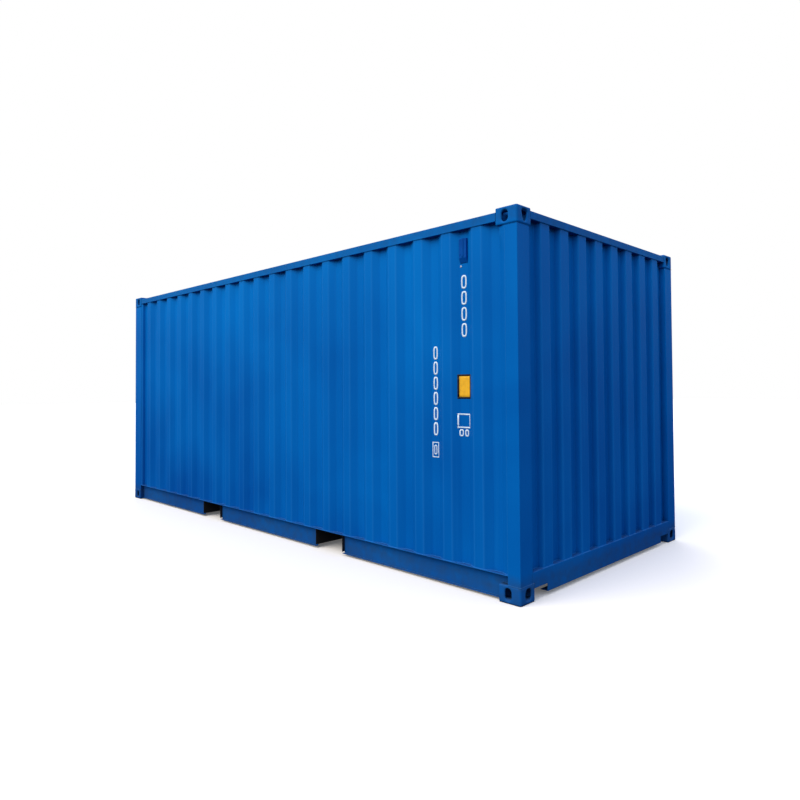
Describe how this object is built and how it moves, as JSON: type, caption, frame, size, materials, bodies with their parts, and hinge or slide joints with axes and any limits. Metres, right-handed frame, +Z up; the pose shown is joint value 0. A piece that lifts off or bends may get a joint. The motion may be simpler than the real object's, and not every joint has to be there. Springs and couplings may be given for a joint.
{
  "type": "shipping container",
  "caption": "Closed steel dry freight container with corrugated walls, corner castings, fork pockets and double end doors, for stacking, lifting and carrying cargo.",
  "frame": {"origin": "on the ground under the middle of the base, level with the undersides of the bottom castings", "axes": "+X to the blind front end, -X to the doors, +Y to the left side, +Z up"},
  "size_m": [6.058, 2.438, 2.591],
  "materials": {
    "paint": "satin blue marine paint",
    "plywood": "sealed plywood",
    "rubber": "matt black rubber",
    "zinc": "dull galvanised steel"
  },
  "bodies": {
    "root": {"bottom_castings_front": "paint", "bottom_castings_rear": "paint", "bottom_rail_left": "paint", "bottom_rail_right": "paint", "cam_keepers": "zinc", "cross_members": "paint", "door_frame_left": "paint", "door_frame_right": "paint", "door_gasket_left": "rubber", "door_gasket_right": "rubber", "door_handles_left": "zinc", "door_handles_right": "zinc", "door_header": "paint", "door_hinges_left": "zinc", "door_hinges_right": "zinc", "door_panel_left": "paint", "door_panel_right": "paint", "door_sill": "paint", "floor_boards": "plywood", "fork_pocket_front": "paint", "fork_pocket_rear": "paint", "front_post_left": "paint", "front_post_right": "paint", "front_sill": "paint", "front_top_rail": "paint", "front_wall": "paint", "handle_catches": "zinc", "hinge_pins": "zinc", "lock_rods_left": "zinc", "lock_rods_right": "zinc", "rear_post_left": "paint", "rear_post_right": "paint", "rod_brackets_left": "zinc", "rod_brackets_right": "zinc", "roof": "paint", "roof_corner_plates": "paint", "roof_end_plates": "paint", "side_wall_left": "paint", "side_wall_right": "paint", "top_castings_front": "paint", "top_castings_rear": "paint", "top_rail_left": "paint", "top_rail_right": "paint", "ventilator_left": "paint", "ventilator_right": "paint"}
  },
  "joints": []
}
